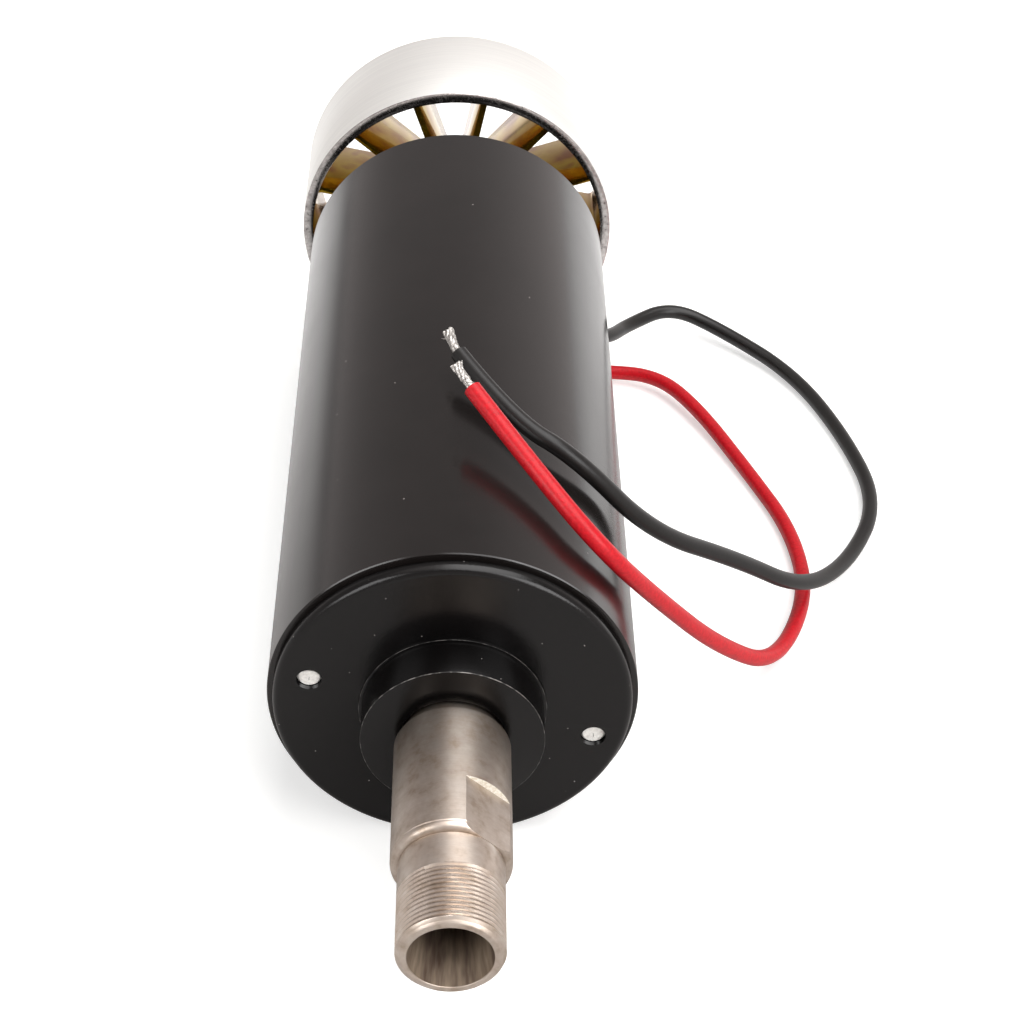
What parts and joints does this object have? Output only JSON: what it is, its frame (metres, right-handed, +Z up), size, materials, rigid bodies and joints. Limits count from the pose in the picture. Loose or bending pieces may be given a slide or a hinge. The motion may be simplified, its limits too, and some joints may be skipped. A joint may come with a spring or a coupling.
{
  "type": "motor spindle",
  "caption": "Round motor spindle with a collet chuck nose at the front, a ducted cooling fan at the rear and two bare-ended supply leads.",
  "frame": {"origin": "on the motor axis, in the plane of the front cover's face round the pilot boss", "axes": "+Y along the motor axis from the nose to the fan; +Z up with the motor lying on its side; +X to the right, on the leads' side"},
  "size_m": [0.1023, 0.1951, 0.0636],
  "materials": {
    "tube_coating": "satin black coating on steel tube",
    "cover_paint": "black paint with a fine orange peel",
    "turned_steel": "fine turned",
    "fastener_steel": "plain zinc-plated",
    "bearing_steel": "polished",
    "spring_steel": "bright",
    "lamination_steel": "stamped",
    "ferrite": "sintered",
    "cage_brass": "pressed",
    "brass_sheet": "satin",
    "copper_wire": "enamelled",
    "commutator_copper": "turned",
    "tinned_wire": "tinned copper",
    "fan_aluminium": "gold anodised, outside turned bright",
    "carbon": "pressed carbon",
    "insulator": "matte",
    "moulded_resin": "moulded",
    "grommet_rubber": "matte",
    "black_insulation": "matte silicone",
    "red_insulation": "matte silicone"
  },
  "bodies": {
    "stator": {"housing_tube": "tube_coating", "front_cover": "cover_paint", "rear_cover": "cover_paint", "tie_bolts": "fastener_steel", "tie_bolt_washers": "fastener_steel", "magnet_north": "ferrite", "magnet_south": "ferrite", "front_bearing_outer_race": "bearing_steel", "front_bearing_shields": "bearing_steel", "rear_bearing_outer_race": "bearing_steel", "rear_bearing_shields": "bearing_steel", "bearing_circlip": "fastener_steel", "wave_washer": "fastener_steel", "brush_spring_top": "spring_steel", "brush_spring_bottom": "spring_steel", "brush_holders": "brass_sheet", "brush_plate": "moulded_resin", "brush_terminals": "brass_sheet", "lead_grommets": "grommet_rubber", "black_lead": "black_insulation", "red_lead": "red_insulation", "black_lead_tip": "tinned_wire", "red_lead_tip": "tinned_wire"},
    "rotor": {"collet_chuck": "turned_steel", "motor_shaft": "turned_steel", "armature_core": "lamination_steel", "end_insulators": "insulator", "armature_winding": "copper_wire", "commutator_hub": "moulded_resin", "commutator_bars": "commutator_copper", "front_bearing_inner_race": "bearing_steel", "rear_bearing_inner_race": "bearing_steel", "fan_impeller": "fan_aluminium", "fan_spacer": "turned_steel", "fan_washer": "fastener_steel", "fan_screw": "fastener_steel"},
    "front_cage": {"front_bearing_balls": "bearing_steel", "front_bearing_cage": "cage_brass"},
    "rear_cage": {"rear_bearing_balls": "bearing_steel", "rear_bearing_cage": "cage_brass"},
    "brush_top": {"carbon_brush_top": "carbon"},
    "brush_bottom": {"carbon_brush_bottom": "carbon"}
  },
  "joints": [
    {"name": "rotor_spin", "type": "hinge", "parent": "stator", "child": "rotor", "pos_m": [0, 0, 0], "axis": [0, 1, 0], "continuous": true},
    {"name": "front_cage_spin", "type": "hinge", "parent": "stator", "child": "front_cage", "pos_m": [0, 0.007, 0], "axis": [0, 1, 0], "continuous": true},
    {"name": "rear_cage_spin", "type": "hinge", "parent": "stator", "child": "rear_cage", "pos_m": [0, 0.1139, 0], "axis": [0, 1, 0], "continuous": true},
    {"name": "brush_top_slide", "type": "slide", "parent": "stator", "child": "brush_top", "axis": [0, 0, 1], "range_m": [0, 0.003], "stiffness_N_per_m": 250, "springref_m": -0.008, "deforming": ["brush_spring_top"]},
    {"name": "brush_bottom_slide", "type": "slide", "parent": "stator", "child": "brush_bottom", "axis": [0, 0, -1], "range_m": [0, 0.003], "stiffness_N_per_m": 250, "springref_m": -0.008, "deforming": ["brush_spring_bottom"]}
  ],
  "couplings": [
    {"joint": "front_cage_spin", "follows": "rotor_spin", "ratio": 0.384},
    {"joint": "rear_cage_spin", "follows": "rotor_spin", "ratio": 0.365}
  ]
}
